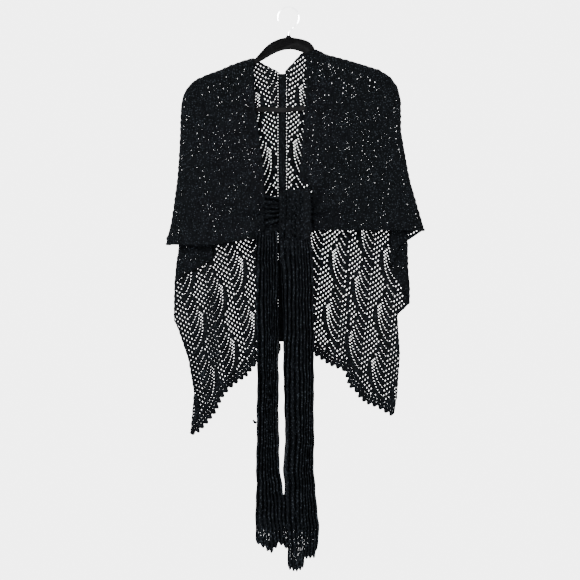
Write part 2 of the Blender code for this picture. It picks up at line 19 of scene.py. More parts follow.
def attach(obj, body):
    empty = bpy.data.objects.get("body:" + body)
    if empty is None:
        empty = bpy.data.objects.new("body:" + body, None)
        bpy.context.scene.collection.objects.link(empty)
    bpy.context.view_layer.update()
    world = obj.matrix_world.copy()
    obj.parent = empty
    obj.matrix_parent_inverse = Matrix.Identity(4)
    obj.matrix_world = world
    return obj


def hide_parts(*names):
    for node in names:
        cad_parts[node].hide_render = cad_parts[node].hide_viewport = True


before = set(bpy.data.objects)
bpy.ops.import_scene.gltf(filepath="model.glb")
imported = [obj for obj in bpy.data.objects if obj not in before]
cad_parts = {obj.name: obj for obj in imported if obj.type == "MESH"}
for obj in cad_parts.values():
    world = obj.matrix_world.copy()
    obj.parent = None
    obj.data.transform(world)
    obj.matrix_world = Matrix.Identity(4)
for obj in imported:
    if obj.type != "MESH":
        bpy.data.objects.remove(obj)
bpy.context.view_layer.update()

MM = 0.001

# Sizes of the object and its drape, most of which the part also has
CENTRE_BACK_X = -13.0
SPINE_WIDTH = 10.0
SPINE_TOP = 135.0
SPINE_END = 688.0
SEAM_GAP = 0.8
EDGING_WIDTH = 13.0
PICOT_HEIGHT = 6.5
PICOT_PITCH = 13.0
TAIL_PICOT_PITCH = 42.0
# Depth of the cloth where it comes round the hanger's edge
Seam = namedtuple("Seam", "distance depth")
SEAM = (Seam(0.0, 0.25), Seam(0.3, 2.5), Seam(1.8, 4.5), Seam(5.0, 5.5))
SEAM_WIDTH, LEAST_DEPTH = SEAM[-1]
DEPTH_SLOPE = 0.3
# The cascade's layers stand a step apart, which grows between these heights below its top
LAYER_STEP = 4.0
LAYER_DOWNS = (5.0, 100.0)
FOLD_ROUND = 3.0
FOLD_PULL = 0.4
# The outer layer comes forward to the side seam between these distances from it
SIDE_REACH = (5.0, 40.0)
# The cloth comes to lie on the hanger's arm over this width
ARM_BLEND = 8.0

# Sizes of the cloth
CLOTH_THICKNESS = 1.1
SPINE_THICKNESS = 1.6
HEM_ROLL_RADIUS = 2.2
RIM_WIDTH = 1.2
# Points that fill the flat cloth between eyelets: how far apart, and least distance from its edge
FILLING = 7.0
KNOT_FILLING = 3.0
LEAST_MARGIN = 1.5
# Width of a front's edge without eyelets
SELVAGE_WIDTH = 6.0
# How far apart the points of an uneven knitted edge are, and any two corners of an outline at least
EDGE_STEP = 2.6
LEAST_STEP = 0.35
# Farther out and up than any cloth reaches
FAR_OUT = 400.0
FAR_UP = 2000.0
# How far the hem's corner shows past the centre back, below the spine
HEM_CORNER = {"left": 3.0, "right": 0.0}
# Cloth that goes on past a seam, so that no light shows through it
SEAM_LAP = 1.6
WOUND_LAP = 7.0
TAIL_LAP = {"left": 7.0, "right": 1.0}


def by_side(kind, left, right):
    """A table for each side, with rows of this kind."""
    return {"left": tuple(kind(*row) for row in left), "right": tuple(kind(*row) for row in right)}


Crest = namedtuple("Crest", "out down")
BACK_CREST = by_side(
    Crest,
    left=(
        (14, 135), (57, 112), (72, 103), (95, 110), (118, 118), (141, 128), (171, 139), (194, 150),
        (209, 166), (217, 181), (221, 200),
    ),
    right=(
        (-13, 135), (8, 114), (25, 94), (57, 86), (80, 97), (118, 107), (149, 116), (187, 128), (210, 143),
        (224, 162), (231, 190),
    ),
)
# Beyond this the shoulder line goes down all the way
SHOULDER_OUT = 60
FRONT_CREST = {
    "left": BACK_CREST["left"][2:],
    "right": (Crest(35, 93),) + BACK_CREST["right"][3:],
}
NECK_END = {"left": 80.0, "right": 66.0}
FRONT_NECK_SHIFT = {"left": 20.0, "right": 0.0}

Section = namedtuple("Section", "down side fold_out fold_in depth")
BACK_SECTIONS = by_side(
    Section,
    left=(
        (200, 221, 196, 206, 5.5), (238, 220, 203, 206, 7.5), (291, 224, 212, 202, 11),
        (348, 228, 219, 188, 13), (436, 240, 224, 168, 14), (486, 251, 226, 157, 14.5),
        (529, 251, 232, 157, 14.5), (567, 251, 236, 157, 14.5), (643, 251, 237, 157, 15),
        (662, 251, 228, 157, 15), (723, 251, 207, 157, 15), (792, 251, 195, 157, 16),
        (883, 251, 203, 157, 17),
    ),
    right=(
        (190, 231, 206, 216, 5.5), (238, 229, 212, 215, 7.5), (288, 237, 224, 213, 11),
        (348, 248, 232, 212, 13), (402, 260, 240, 210, 14), (457, 279, 246, 209, 14.5),
        (535, 279, 247, 209, 14.5), (577, 279, 251, 209, 14.5), (609, 279, 250, 209, 14.5),
        (632, 279, 225, 209, 15), (712, 279, 230, 209, 15), (801, 279, 224, 209, 16),
        (843, 279, 217, 209, 17),
    ),
)
# The cascade's free edge: turn counts 0 to 1 across the flap and 1 to 2 across the outer layer
Selvage = namedtuple("Selvage", "turn down")
SELVAGE = by_side(
    Selvage,
    left=((0, 567), (0.35, 545), (0.7, 533), (1, 515), (1.2, 491), (2, 486)),
    right=((0, 600), (0.35, 575), (0.7, 560), (1, 535), (1.3, 490), (2, 457)),
)

Hem = namedtuple("Hem", "share down")
BACK_HEM = by_side(
    Hem,
    left=(
        (0, 714), (0.04, 718), (0.26, 737), (0.37, 762), (0.45, 770), (0.58, 787), (0.66, 805), (0.72, 834),
        (0.81, 857), (0.91, 878), (1, 883),
    ),
    right=(
        (0, 684), (0.27, 719), (0.38, 737), (0.52, 750), (0.56, 781), (0.62, 791), (0.66, 805), (0.73, 817),
        (0.85, 827), (0.96, 841), (1, 843),
    ),
)

# Soft folds of the backs: how many lie across, how high they are and where the first begins.
# They grow downwards from the shoulders and outwards from the spine, and are calm beside the cascade.
Fold = namedtuple("Fold", "count height start")
BACK_FOLDS = (Fold(2.6, 1.0, 0.1), Fold(5.3, 0.45, 0.4))
BACK_SWELL = 3.85
SWELL_DOWNS = (240.0, 760.0)
SWELL_SHARES = (0.0, 0.12)
CALM = 0.85
CALM_DOWNS = (600.0, 760.0)
CALM_SHARES = (0.62, 0.9)

Front = namedtuple("Front", "down edge side depth_edge depth_mid depth_side")
FRONT_SECTIONS = by_side(
    Front,
    left=(
        (103, 72, 221, 5.5, 5.5, 5.5), (204, 68, 221, 9, 7, 5.5), (291, 57, 224, 15, 10, 6),
        (348, 49.5, 228, 21, 13, 6.5), (383, 48.5, 231, 25, 15, 7), (459, 48.5, 244, 26, 17, 8),
        (474, 62, 251, 25, 17, 8), (486, 68, 251, 24, 17, 8),
    ),
    right=(
        (86, 37, 231, 5.5, 5.5, 5.5), (200, 35, 231, 9, 7, 5.5), (253, 31, 231, 13, 9, 6),
        (330, 23, 244, 20, 12, 6.5), (352, 21, 249, 23, 14, 7), (361, 25, 251, 25, 15, 7),
        (366, 42, 252, 25, 15, 7), (371, 47, 254, 25, 15, 7), (457, 48.5, 279, 26, 17, 8),
    ),
)
FRONT_HEM = by_side(
    Hem,
    left=((0, 472), (0.25, 480), (0.48, 486), (1, 486)),
    right=((0, 456), (0.7, 456), (1, 457)),
)
# The fronts' folds run to the knot and fade away from it
KNOT_OUT = 40.0
KNOT_DOWN = 425.0
FRONT_SWELL = 4.2
FRONT_FOLDS = 6.5
FRONT_SWELL_REACH = 170.0
FRONT_SWELL_DOWNS = (150.0, 260.0)
FRONT_CALM_SHARES = (0.75, 1.0)

Tail = namedtuple("Tail", "down left right middle pleat")
TAIL_ROWS = by_side(
    Tail,
    left=(
        (472.7, -66, -22, -26, 7), (500, -67, -21, -26, 13), (560, -67, -21, -24, 16),
        (640, -66, -21, -22, 18), (740, -64, -20.5, -21, 18), (860, -65, -20.5, -20, 18),
        (950, -66, -17.5, -20, 16), (979, -66, -13.8, -20, 14), (996, -67, -12, -20, 13),
        (1003, -67, -8.8, -20, 13), (1060, -68, -6.8, -20, 10), (1100, -68, -2.2, -20, 6),
    ),
    right=(
        (478.6, -19, 46, -35.2, 4), (510, -17, 50, -34, 10), (560, -14, 51, -31, 14),
        (640, -10, 51, -27, 16), (760, -10.5, 52, -24, 18), (860, -7, 52, -22, 18), (915, -8, 52, -21, 18),
        (945, -11, 52, -21, 18), (979, -8.8, 54, -21, 17), (996, -8.2, 55, -21, 16),
        (1003, -9.2, 56, -21, 16), (1060, -7.2, 63, -21, 12), (1100, -2.6, 62, -21, 8),
        (1140, -1, 60, -21, 5),
    ),
)
TAIL_PLEATS = {"left": 7, "right": 9}
TAIL_FLAT = {"left": 290.0, "right": 370.0}
TAIL_TOP_RISE = {"left": 9.0, "right": 0.0}
TAIL_END = by_side(
    Hem,
    left=((0, 1085), (0.25, 1097), (0.49, 1108), (0.73, 1088), (1, 1100)),
    right=((0, 1139), (0.25, 1145), (0.5, 1140), (0.58, 1119), (0.9, 1116), (0.97, 1088), (1, 1076)),
)

Wound = namedtuple("Wound", "x top bottom middle pleat")
WOUND_ROWS = tuple(Wound(*row) for row in (
    (-47.5, 386, 466, -26, 12), (-30, 390, 458, -26, 12), (-10, 394, 450, -26, 12),
    (15, 390, 446, -26, 12), (32, 388, 450, -26, 12), (47.5, 385, 454, -26, 12),
))
WOUND_PLEATS = 6
# Each row of the crossing stretch says how far along it is, and how far its left edge is drawn down
Crossing = namedtuple("Crossing", "along down middle pleat drop")
CROSSING_ROWS = tuple(Crossing(*row) for row in (
    (0, 440, -17, 2, 0), (56, 384, -17, 2, 0), (66.3, 374, -19.5, 2, 8),
    (73.9, 370, -26, 2, 8), (81.7, 374, -32.7, 3, 8), (92, 384, -35.2, 5, 8),
    (138, 430, -35.2, 5, 1), (186, 478, -35.2, 5.5, 0),
))
CROSSING_PLEATS = 6
CROSSING_EDGES = (-19.0, 46.0)
# A loose end of yarn beside the left tail
YARN_RADIUS = 2.0
YARN_END = ((-66, -24, -853), (-69, -24.5, -851.5), (-71, -25, -850), (-72.5, -25, -847))

ARM_OUTLINE = by_side(
    Crest,
    left=(
        (0.0, 60), (19, 63), (42, 74), (66, 101), (70, 105.5), (80, 108), (95, 111.9), (118, 119.9),
        (141, 129.9), (171, 141.1), (192, 152), (204, 166), (211, 183), (213, 202.4), (198, 202.4),
        (196, 188), (187, 170), (165, 155), (118, 136), (76, 119), (57, 110), (26, 91), (0.0, 84),
    ),
    right=(
        (6, 60), (38, 66), (51, 77), (55, 88), (62, 92.5), (80, 99.2), (118, 109), (149, 118), (187, 130.2),
        (206, 144), (218, 163), (223.5, 180), (224, 190.4), (209, 190.4), (205, 178), (198, 164),
        (182, 148), (149, 134), (118, 125), (78, 114), (56, 106), (25, 89),
    ),
)

# Layers of the hanger's moulding: depth, and how far the outline is drawn in
MOULDING_LAYERS = ((-2.6, 1.5), (-2.2, 0.6), (-1.2, 0.0), (1.2, 0.0), (2.2, 0.6), (2.6, 1.5))
# The flocked foot round the hook's stem: radius and distance below the hook's inner top
HOOK_FOOT = ((7.5, 61.5), (5.0, 59.0), (3.4, 56.5), (2.8, 53.0), (2.4, 51.0))
FOOT_SIDES = 20

# The lace: leaves in columns, half a leaf apart, shallow rows on the outer half and steep ones on the inner.
# Rows divide a leaf's height, so that they go on from leaf to leaf.
LEAF_WIDTH = 53.0
LEAF_HEIGHT = 113.0
LEAF_SWELL = 0.36
LEAF_RIB = 2.2
LEAST_STRAND = 0.55
# Eyelets in cells of this size are compared with those of the cells around
THINNING_CELL = 9.0
ROW_EYELETS = 14
STEEPEST_ROW = 80.0
# The middle of a leaf's last rows stays closed
CLOSED_SHARE = 0.12
CLOSED_WIDTH = 6.0
# An eyelet's size in its leaf: at the middle, how much it grows to the side, and how uneven it is
EYELET_SIZE = 0.94
EYELET_GROWTH = 0.12
EYELET_SPREAD = 0.06
# Each half's rows start at a slope and grow steeper by a bend with each eyelet
Half = namedtuple("Half", "slope bend rows along fill across_out across_down")
OUTER_HALF = Half(29.0, 3.2, 11, 6.5, 0.225, 0.1, 1.6)
INNER_HALF = Half(48.0, 4.2, 7, 6.9, 0.21, 1.1, -0.35)
# An eyelet has its half-sizes as two vectors, along its row and across it
Eyelet = namedtuple("Eyelet", "across down along_x along_y over_x over_y")
# Corners of an eyelet, counted in its half-sizes
CORNER = 0.45
ROUND_EYELET = (
    (1, CORNER), (CORNER, 1), (-CORNER, 1), (-1, CORNER),
    (-1, -CORNER), (-CORNER, -1), (CORNER, -1), (1, -CORNER),
)
SMALL_EYELET = ((1, 0), (0.5, 1), (-0.5, 1), (-1, 0), (-0.5, -1), (0.5, -1))
# Leaves lean, and where the cloth is gathered they are drawn together
Leaves = namedtuple("Leaves", "lean column apex wide high")
LEAVES = {
    "back_left": Leaves(0.208, 74.0, 82.5, 1.0, 1.0),
    "back_right": Leaves(0.11, 17.0, 66.5, 1.0, 1.0),
    "front_left": Leaves(0.5, 150.0, 205.0, 0.52, 0.66),
    "front_right": Leaves(0.36, 110.0, 205.0, 0.52, 0.66),
    "tail": Leaves(0.0, 10.0, 40.0, 1.0, 1.0),
}
# The ladder beside the spine: how far from the edge, how far apart, and half-sizes
LADDER = Eyelet(3.1, 6.0, 0.45, 0.0, 0.0, 0.85)
# It ends this far from the neckline and from the hem
LADDER_TOP = 8
LADDER_END = 22
# Rows of eyelets in the edging: how far above the points' tips, how far apart, and their size
EDGING_ROWS = ((11.5, 8.0, 0.72, 0.72), (18.5, 7.0, 0.9, 1.0))
EDGING_REACH = 23.0
EDGING_SIZE = 0.5
EDGING_SPREAD = 0.13
# A picot's profile, as shares of its height by which the edge steps back
PICOT_PROFILE = (1, 0.7, 0.3, 0.07, 0.0, 0.07, 0.3, 0.7)
STEEPEST_HEM = 1.2
# Lines where the cloth is pinched together, so that its eyelets close
Pinch = namedtuple("Pinch", "top top_out end end_out width opening")
PINCHES = {
    "back_left": (Pinch(590, 160, 740, 153, 11, 0.62), Pinch(690, 158, 830, 171, 9, 0.7)),
    "back_right": (Pinch(470, 121, 742, 125, 2.0, 0.0), Pinch(560, 96, 720, 118, 8, 0.7)),
}
# How far open the eyelets are, as shares of their size in the leaf
BACK_OPENING = {"left": 0.89, "right": 0.96}
FRONT_OPENING = 0.72
TAIL_OPENING = 0.48
KNOT_OPENING = 0.3
# The backs' eyelets close a little outwards, at the outline, towards the hem and at the back of the neck
OUTER_CLOSING = 0.12
OUTER_OUTS = (60, 200)
OUTLINE_CLOSING = 0.1
OUTLINE_REACH = (8, 30)
HEM_CLOSING = 0.06
HEM_DOWNS = (620, 760)
NECK_CLOSING = 0.08
NECK_DOWNS = (330, 430)
NECK_OUTS = (60, 90)
# The cascade's eyelets are small on the flap and larger at the side
FLAP_OPENING = 0.45
LAYER_OPENING = 0.7
LAYER_GROWTH = 0.35
LAYER_REACH = (-34, -14)
# The fronts' eyelets close towards the knot and open at the shoulders and sides
KNOT_CLOSING = 0.6
KNOT_REACH = 75
SHOULDER_GROWTH = 0.45
SHOULDER_DOWNS = (150, 210)
FRONT_SIDE_GROWTH = 0.12
FRONT_SIDE_REACH = (8, 24)
# The tails' eyelets open towards their ends
TAIL_END_GROWTH = 0.7
TAIL_END_DOWNS = (1040, 1090)


def between(a, b, share):
    return a + (b - a) * share


def clamped(share):
    return min(1.0, max(0.0, share))


def ramp(value, start, end):
    share = clamped((value - start) / (end - start))
    return share * share * (3 - 2 * share)


def row_at(table, position):
    """A table's row at this position in its first column, on straight lines between rows."""
    if position <= table[0][0]:
        return table[0]
    if position >= table[-1][0]:
        return table[-1]
    k = bisect_right(table, position, key=itemgetter(0))
    before, after = table[k - 1], table[k]
    share = (position - before[0]) / (after[0] - before[0])
    return before._make(between(a, b, share) for a, b in zip(before, after))


def noise(*values):
    """A steady value between -1 and 1 for a place."""
    total = sum(value * factor for value, factor in zip(values, (12.9898, 78.233, 37.719)))
    return 2 * ((math.sin(total) * 43758.5453) % 1.0) - 1


def spaced(start, end, step):
    count = max(1, round(abs(end - start) / step))
    return [between(start, end, k / count) for k in range(count + 1)]


# The drape of the cloth, as in the part


def edge_depth(side, out, below, depth):
    """A depth, limited near the shoulder line by how far below that line the place is."""
    on_arm = ramp(out, NECK_END[side] - ARM_BLEND, NECK_END[side])
    spread = DEPTH_SLOPE * max(0.0, below - SEAM_WIDTH)
    return min(depth, between(LEAST_DEPTH, row_at(SEAM, below).depth, on_arm) + spread)


def back_depth(side, share, down):
    """Depth of a back's main layer, with its soft folds growing towards the hem."""
    depth = row_at(BACK_SECTIONS[side], down).depth
    calm = 1 - CALM * ramp(share, *CALM_SHARES) * (1 - ramp(down, *CALM_DOWNS))
    swell = BACK_SWELL * ramp(down, *SWELL_DOWNS) * calm * ramp(share, *SWELL_SHARES)
    folds = 0.0
    for fold in BACK_FOLDS:
        folds += fold.height * math.sin(2 * math.pi * (fold.count * share + fold.start))
    return depth + swell * (1 + folds)


def back_inner(sign):
    return sign * CENTRE_BACK_X + SPINE_WIDTH / 2 + SEAM_GAP


def back_place(side, sign, out, down):
    """A point of a back's main layer, from its place in the front view."""
    inner = back_inner(sign)
    sections = BACK_SECTIONS[side]
    share = (out - inner) / (row_at(sections, down).fold_out - inner)
    top_out = between(inner, sections[0].fold_out, share)
    top = row_at(BACK_CREST[side], top_out).down
    depth = edge_depth(side, top_out, down - top, back_depth(side, min(1.0, share), down))
    return sign * out, depth, -down


def fold_lift(share):
    """How far cloth leaves its layer in a round fold: 1 at the fold, 0 where the layer is flat."""
    return 1 - math.sqrt(max(0.0, 1 - (1 - share) ** 2))


def cascade_place(side, sign, along, down):
    """A point of the cloth beyond the outer fold, from how far along the section it lies."""
    section = row_at(BACK_SECTIONS[side], down)
    fold_out, fold_in = section.fold_out, section.fold_in
    step = LAYER_STEP * ramp(down - BACK_SECTIONS[side][0].down, *LAYER_DOWNS)
    main = back_depth(side, 1.0, down)
    flap = abs(fold_out - fold_in)
    outer_depth = max(LEAST_DEPTH, main - 2 * step)
    if along < flap:
        share = along / flap
        out = between(fold_out, fold_in, share)
        depth = main - step
        rounding = min(along, flap - along) / FOLD_ROUND
        if rounding < 1:
            lift = fold_lift(rounding) * step / 2
            depth += lift if share < 0.5 else -lift
            pull = (1 - rounding) * FOLD_PULL
            out += -pull if share < 0.5 else pull
    else:
        out = fold_in + along - flap
        depth = outer_depth
        rounding = (along - flap) / FOLD_ROUND
        if rounding < 1 and step > 1:
            depth += fold_lift(rounding) * (main - step - outer_depth) / 2
        from_side = section.side - out
        depth = between(LEAST_DEPTH, depth, ramp(from_side, *SIDE_REACH))
        if from_side < SEAM_WIDTH:
            depth = min(depth, row_at(SEAM, from_side).depth)
    top = row_at(BACK_CREST[side], out).down
    return sign * out, edge_depth(side, out, down - top, depth), -down


def front_place(side, sign, out, down):
    """A point of a front, from its place in the front view."""
    sections = FRONT_SECTIONS[side]
    section = row_at(sections, down)
    last = section.side - SEAM_WIDTH
    share = clamped((out - section.edge) / (last - section.edge))
    if share < 0.5:
        depth = between(section.depth_edge, section.depth_mid, share / 0.5)
    else:
        depth = between(section.depth_mid, section.depth_side, (share - 0.5) / 0.5)
    reach = math.hypot(out - KNOT_OUT, down - KNOT_DOWN)
    angle = math.atan2(out - KNOT_OUT, KNOT_DOWN - down)
    swell = FRONT_SWELL * math.exp(-reach / FRONT_SWELL_REACH) * ramp(down, *FRONT_SWELL_DOWNS)
    swell *= 1 - ramp(share, *FRONT_CALM_SHARES)
    depth += swell * math.sin(FRONT_FOLDS * angle)
    top_out = between(sections[0].edge, sections[0].side - SEAM_WIDTH, share) + max(0.0, out - last)
    top = row_at(FRONT_CREST[side], top_out).down
    depth = edge_depth(side, top_out + FRONT_NECK_SHIFT[side], down - top, depth)
    from_side = section.side - out
    if from_side < SEAM_WIDTH:
        depth = min(depth, row_at(SEAM, from_side).depth)
    return sign * out, -depth, -down


# The lace


def resized(e, size):
    return Eyelet(e.across, e.down, e.along_x * size, e.along_y * size, e.over_x * size, e.over_y * size)


def reach_of(e, x, y):
    """How far an eyelet reaches from its middle in this direction."""
    along = abs(e.along_x * x + e.along_y * y)
    over = abs(e.over_x * x + e.over_y * y)
    return max(along + CORNER * over, CORNER * along + over)


def leaf_half(half, side, seed):
    """Eyelets of half a leaf around its lowest point."""
    found = []
    for row in range(half.rows):
        closed_width = CLOSED_WIDTH if 1 - row / half.rows < CLOSED_SHARE else 0.0
        end_aside, end_down = 0.0, -LEAF_HEIGHT * row / half.rows
        for step in range(ROW_EYELETS):
            angle = math.radians(min(STEEPEST_ROW, half.slope + half.bend * step))
            step_out, step_up = half.along * math.cos(angle), half.along * math.sin(angle)
            aside, down = end_aside + step_out / 2, end_down - step_up / 2
            end_aside, end_down = end_aside + step_out, end_down - step_up
            wide = LEAF_WIDTH / 2 * (1 - LEAF_SWELL * math.cos(2 * math.pi * down / LEAF_HEIGHT))
            if aside > wide - LEAF_RIB:
                break
            if aside < closed_width:
                continue
            size = EYELET_SIZE + EYELET_GROWTH * (aside / wide) ** 2 + EYELET_SPREAD * noise(row, step, seed)
            found.append(Eyelet(
                side * aside, down, side * step_out * half.fill * size, -step_up * half.fill * size,
                side * half.across_out * size, half.across_down * size,
            ))
    return found


def leaf_lace(leaves, first, last, top, bottom):
    """Eyelets between these limits, in the front view or in the flat cloth."""
    found = []
    lean, wide, high = leaves.lean, leaves.wide, leaves.high
    leaf_width, leaf_height = LEAF_WIDTH * wide, LEAF_HEIGHT * high
    start_column = math.floor((first + min(lean * top, lean * bottom) - leaves.column) / leaf_width) - 1
    end_column = math.ceil((last + max(lean * top, lean * bottom) - leaves.column) / leaf_width) + 1
    for column in range(start_column, end_column + 1):
        start = leaves.apex + leaf_height * 0.5 * (column % 2)
        start_leaf = math.floor((top - start) / leaf_height)
        end_leaf = math.ceil((bottom - start) / leaf_height) + 1
        for leaf in range(start_leaf, end_leaf + 1):
            for half, side in ((OUTER_HALF, 1), (INNER_HALF, -1)):
                for e in leaf_half(half, side, column * 31 + leaf):
                    down = start + leaf_height * leaf + e.down * high
                    across = leaves.column + leaf_width * column + e.across * wide - lean * down
                    if first <= across <= last and top <= down <= bottom:
                        along, over = (e.along_x * wide, e.along_y * high), (e.over_x * wide, e.over_y * high)
                        found.append(Eyelet(across, down, *along, *over))
    return found


def pinched(name, eyelets):
    """The eyelets with those on a pinched line closed or smaller."""
    found = []
    for e in eyelets:
        opening = 1.0
        for pinch in PINCHES[name]:
            share = (e.down - pinch.top) / (pinch.end - pinch.top)
            aside = abs(e.across - between(pinch.top_out, pinch.end_out, share))
            if 0 <= share <= 1 and aside < pinch.width:
                opening = min(opening, pinch.opening)
        if opening > 0:
            found.append(resized(e, opening))
    return found


def edge_gap(polygon, points):
    """Distance of each point from a closed polygon's edge, positive inside it."""
    points = np.asarray(points, float)
    corners = np.asarray(polygon, float)
    nearest = np.full(len(points), 1e9)
    crossings = np.zeros(len(points), int)
    for (ax, ay), (bx, by) in zip(corners, np.roll(corners, -1, axis=0)):
        edge = np.array((bx - ax, by - ay))
        size = edge @ edge
        if size == 0:
            continue
        share = np.clip(((points - (ax, ay)) @ edge) / size, 0, 1)
        distance = np.hypot(points[:, 0] - ax - share * edge[0], points[:, 1] - ay - share * edge[1])
        nearest = np.minimum(nearest, distance)
        if by != ay:
            crossing_x = (bx - ax) * (points[:, 1] - ay) / (by - ay) + ax
            crossings += ((ay > points[:, 1]) != (by > points[:, 1])) & (points[:, 0] < crossing_x)
    return np.where(crossings % 2 == 1, nearest, -nearest)


def cell_of(x, y, size):
    return math.floor(x / size), math.floor(y / size)


def cells_around(cell):
    """A cell and the eight around it."""
    return [(cell[0] + i, cell[1] + j) for i in (-1, 0, 1) for j in (-1, 0, 1)]


def thin_out(eyelets):
    """Leaves out eyelets that lie too near one that is already there."""
    kept = []
    cells = {}
    for e in eyelets:
        cell = cell_of(e.across, e.down, THINNING_CELL)
        near = [other for around in cells_around(cell) for other in cells.get(around, ())]
        if all(strand_between(e, other) >= LEAST_STRAND for other in near):
            cells.setdefault(cell, []).append(e)
            kept.append(e)
    return kept


def strand_between(a, b):
    """The cloth that is left between two eyelets, across the lines that part them best."""
    apart_x, apart_y = b.across - a.across, b.down - a.down
    best = -1.0
    for x, y in (
        (a.along_y, -a.along_x), (a.over_y, -a.over_x), (b.along_y, -b.along_x), (b.over_y, -b.over_x),
        (apart_x, apart_y),
    ):
        size = math.hypot(x, y) or 1.0
        x, y = x / size, y / size
        best = max(best, abs(apart_x * x + apart_y * y) - reach_of(a, x, y) - reach_of(b, x, y))
    return best


def lace_sheet(polygon, eyelets, place, filling=FILLING, corners=ROUND_EYELET):
    """Places and triangles of a flat piece with its eyelets cut out, brought to where its points belong."""
    if eyelets:
        gaps = edge_gap(polygon, [(e.across, e.down) for e in eyelets])
        widest = [max(reach_of(e, 1, 0), reach_of(e, 0, 1)) for e in eyelets]
        eyelets = [e for e, gap, reach in zip(eyelets, gaps, widest) if gap > reach + RIM_WIDTH]
    eyelets = thin_out(eyelets)
    xs, ys = [p[0] for p in polygon], [p[1] for p in polygon]
    grid = [(x, y) for x in spaced(min(xs), max(xs), filling) for y in spaced(min(ys), max(ys), filling)]
    taken = {cell_of(e.across, e.down, filling) for e in eyelets}
    extra = [(x, y) for (x, y), gap in zip(grid, edge_gap(polygon, grid))
             if gap > LEAST_MARGIN and taken.isdisjoint(cells_around(cell_of(x, y, filling)))]
    points = [Vector(point) for point in polygon]
    owner = [-1] * len(points)
    edges = [(k, (k + 1) % len(polygon)) for k in range(len(polygon))]
    for number, e in enumerate(eyelets):
        first = len(points)
        for k, (along, over) in enumerate(corners):
            across = e.across + along * e.along_x + over * e.over_x
            points.append(Vector((across, e.down + along * e.along_y + over * e.over_y)))
            owner.append(number)
            edges.append((first + k, first + (k + 1) % len(corners)))
    points += [Vector(point) for point in extra]
    owner += [-1] * len(extra)
    flat, _, faces, origin, _, _ = delaunay_2d_cdt(points, edges, [], 1, 1e-5)
    owners = [owner[ids[0]] if ids else -1 for ids in origin]
    kept = [face for face in faces if -1 in (marks := {owners[v] for v in face}) or len(marks) > 1]
    used = sorted({v for face in kept for v in face})
    number = {v: k for k, v in enumerate(used)}
    return [place(*flat[v]) for v in used], [tuple(number[v] for v in face) for face in kept]


def new_object(name, data, place=(0, 0, 0)):
    thing = bpy.data.objects.new(name, data)
    thing.location = place
    bpy.context.scene.collection.objects.link(thing)
    return thing


def piece_of(name, mesh, material):
    """A piece of the object, with this mesh and only this material."""
    mesh.materials.clear()
    mesh.materials.append(material)
    mesh.shade_smooth()
    piece = new_object(name, mesh)
    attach(piece, "root")
    return piece


def new_piece(name, places, faces, material):
    """A piece from places in millimetres and faces."""
    mesh = bpy.data.meshes.new(name)
    mesh.from_pydata([(x * MM, y * MM, z * MM) for x, y, z in places], [], faces)
    mesh.update()
    return piece_of(name, mesh, material)


def cloth(name, sheets, material, nodes, thickness=CLOTH_THICKNESS):
    """Thin cloth from sheets of placed points and faces, standing for these nodes."""
    places, faces = [], []
    for sheet_places, sheet_faces in sheets:
        first = len(places)
        places += sheet_places
        faces += [tuple(v + first for v in face) for face in sheet_faces]
    piece = new_piece(name, places, faces, material)
    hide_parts(*nodes)
    wall = piece.modifiers.new("Wall", "SOLIDIFY")
    wall.thickness = thickness * MM
    wall.offset = 0.0
    return piece


def closed_line(points):
    """A polygon without corners that nearly repeat one another."""
    kept = [points[0]]
    for point in points[1:]:
        if math.dist(point, kept[-1]) > LEAST_STEP:
            kept.append(point)
    while math.dist(kept[0], kept[-1]) < LEAST_STEP:
        kept.pop()
    return kept


def lengths_along(line):
    """How far along a line each of its points is."""
    lengths = [0.0]
    for a, b in zip(line, line[1:]):
        lengths.append(lengths[-1] + math.dist(a, b))
    return lengths


def stations(line, lengths, distances):
    """A line's points at these distances along it, each with the slope there and the length of (1, slope)."""
    for at in distances:
        j = min(len(line) - 2, max(0, bisect_right(lengths, at) - 1))
        a, b = line[j], line[j + 1]
        share = (at - lengths[j]) / max(1e-6, lengths[j + 1] - lengths[j])
        slope = (b[1] - a[1]) / (b[0] - a[0]) if abs(b[0] - a[0]) > 1e-6 else 0.0
        slope = max(-STEEPEST_HEM, min(STEEPEST_HEM, slope))
        yield between(a[0], b[0], share), between(a[1], b[1], share), slope, math.hypot(1, slope)


def picot_line(line, height, pitch):
    """A line of points with picots: between them it steps back by the picots' height."""
    lengths = lengths_along(line)
    steps = max(1, round(lengths[-1] / pitch)) * len(PICOT_PROFILE)
    distances = [lengths[-1] * k / steps for k in range(steps + 1)]
    found = []
    for k, (x, y, slope, size) in enumerate(stations(line, lengths, distances)):
        back = PICOT_PROFILE[k % len(PICOT_PROFILE)] * height
        found.append((x + back * slope / size, y - back / size))
    return found


def uneven(at, seed):
    """How far a knitted edge stands out of its line, at this place along it."""
    return 0.5 + 0.5 * math.sin(at / 2.1 + seed) + 0.4 * noise(round(at / 5), seed)


def edging_eyelets(line):
    """The edging's rows of small eyelets, each moved up from a hem's line."""
    lengths = lengths_along(line)
    found = []
    for offset, step, width, height in EDGING_ROWS:
        distances = spaced(step / 2, lengths[-1] - step / 2, step)
        for at, (x, y, slope, size) in zip(distances, stations(line, lengths, distances)):
            grown = EDGING_SIZE + EDGING_SPREAD * noise(at, offset)
            wide, high = width * grown, height * grown
            found.append(Eyelet(
                x + offset * slope / size, y - offset / size,
                wide / size, wide * slope / size, -high * slope / size, high / size,
            ))
    return found


def back_hem_line(side, sign):
    """The back's diagonal hem in the front view, from the outline to the centre back."""
    inner = back_inner(sign)
    line = []
    for share in spaced(1.0, 0.0, 0.02):
        down = row_at(BACK_HEM[side], share).down
        line.append((between(inner, row_at(BACK_SECTIONS[side], down).fold_out, share), down))
    line[-1] = (inner - HEM_CORNER[side], line[-1][1])
    return line


